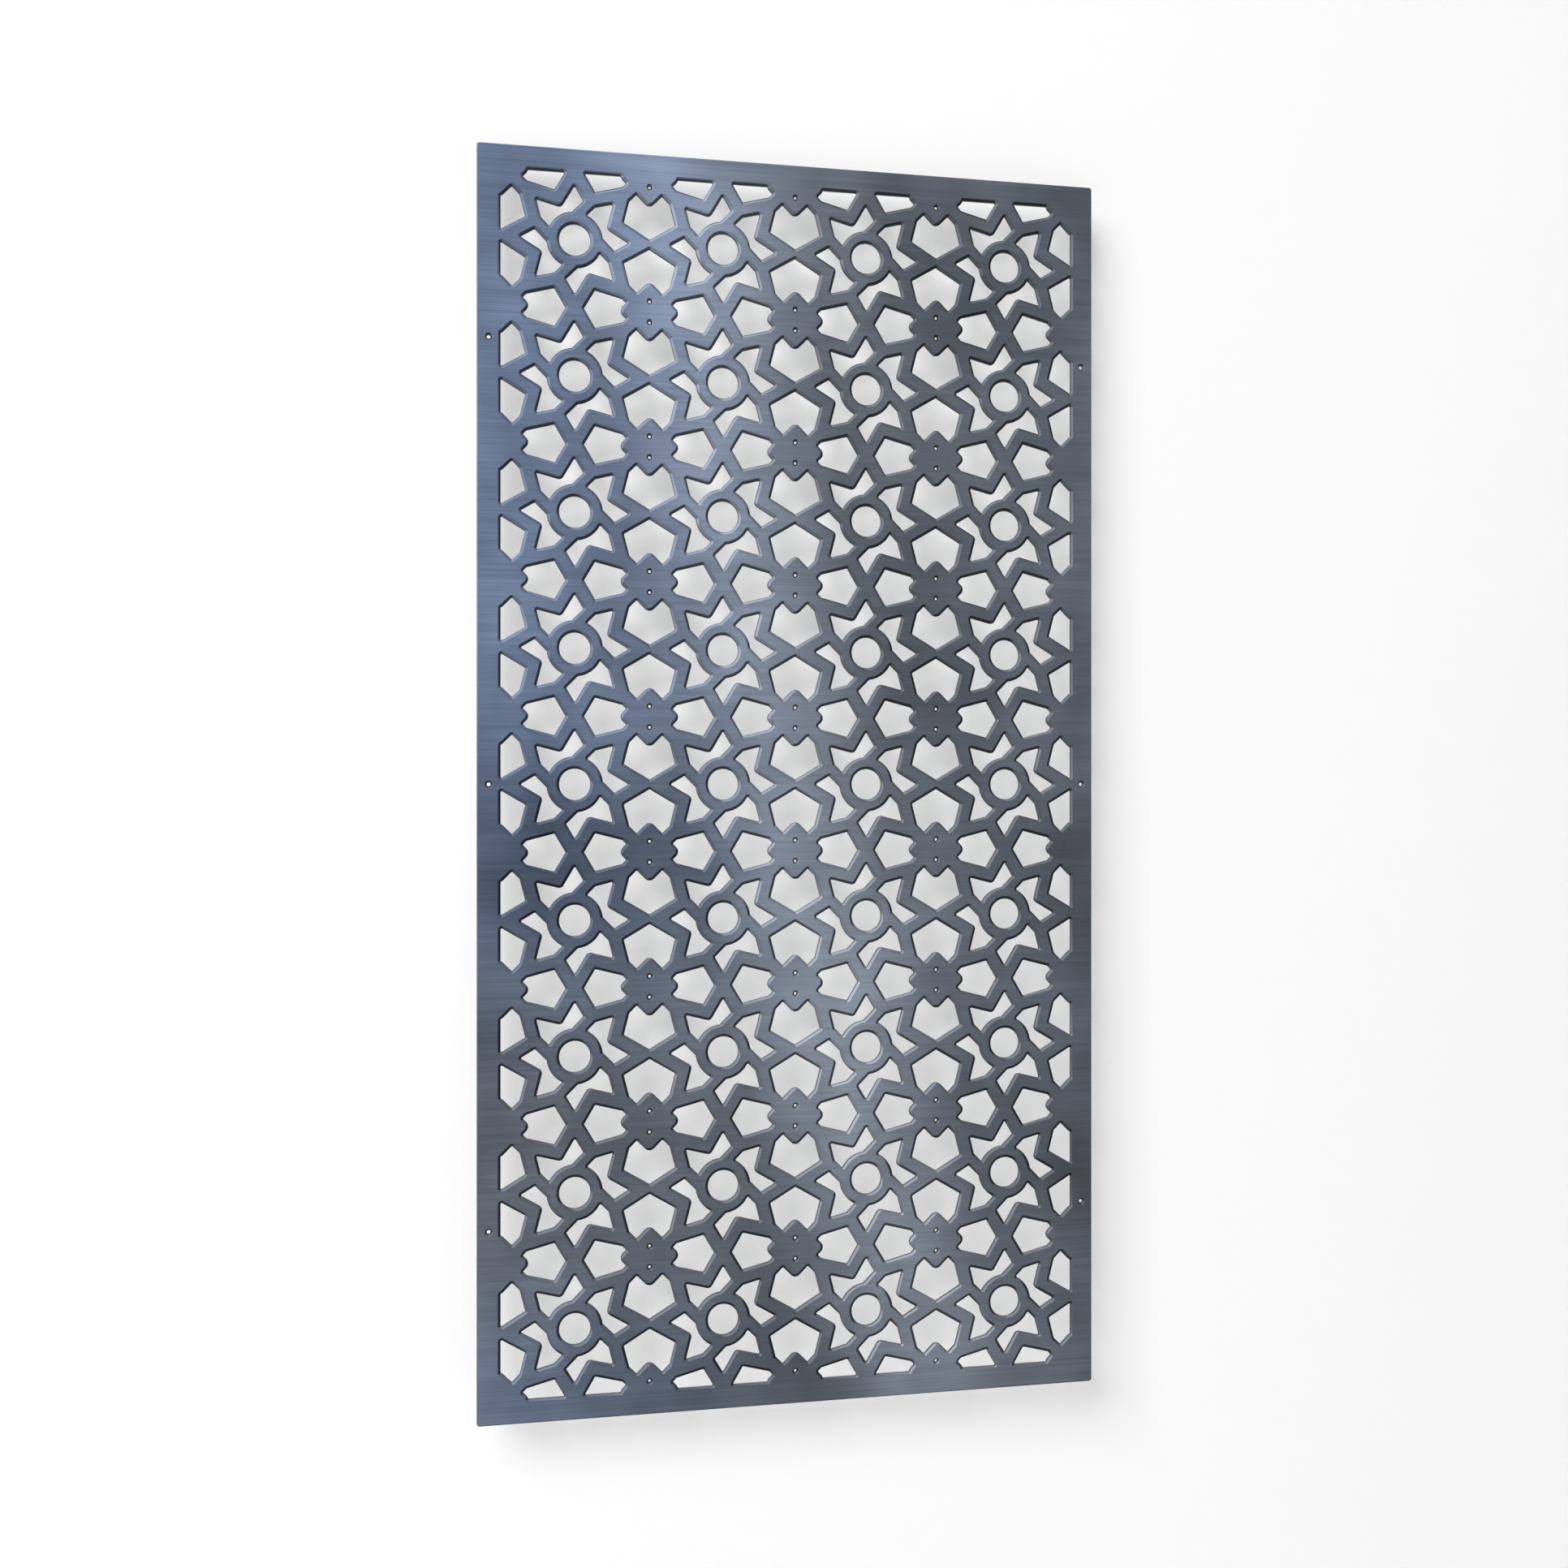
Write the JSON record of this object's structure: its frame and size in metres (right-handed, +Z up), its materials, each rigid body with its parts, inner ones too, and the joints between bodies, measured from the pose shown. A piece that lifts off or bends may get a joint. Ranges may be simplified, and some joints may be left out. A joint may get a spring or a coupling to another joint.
{
  "type": "privacy screen panel",
  "caption": "Flat steel privacy screen, plasma-cut with a lattice of rings, stars and petals, with bevelled front edges and screw holes down both sides.",
  "frame": {"origin": "middle of the back face, which is the middle of the screw holes", "axes": "+X across the plate to the right seen from the front, +Y out of the back, +Z up"},
  "size_m": [0.917, 0.006, 1.805],
  "materials": {
    "steel": "brushed along the width, blue-grey"
  },
  "bodies": {
    "root": {"screen_plate": "steel"}
  },
  "joints": []
}
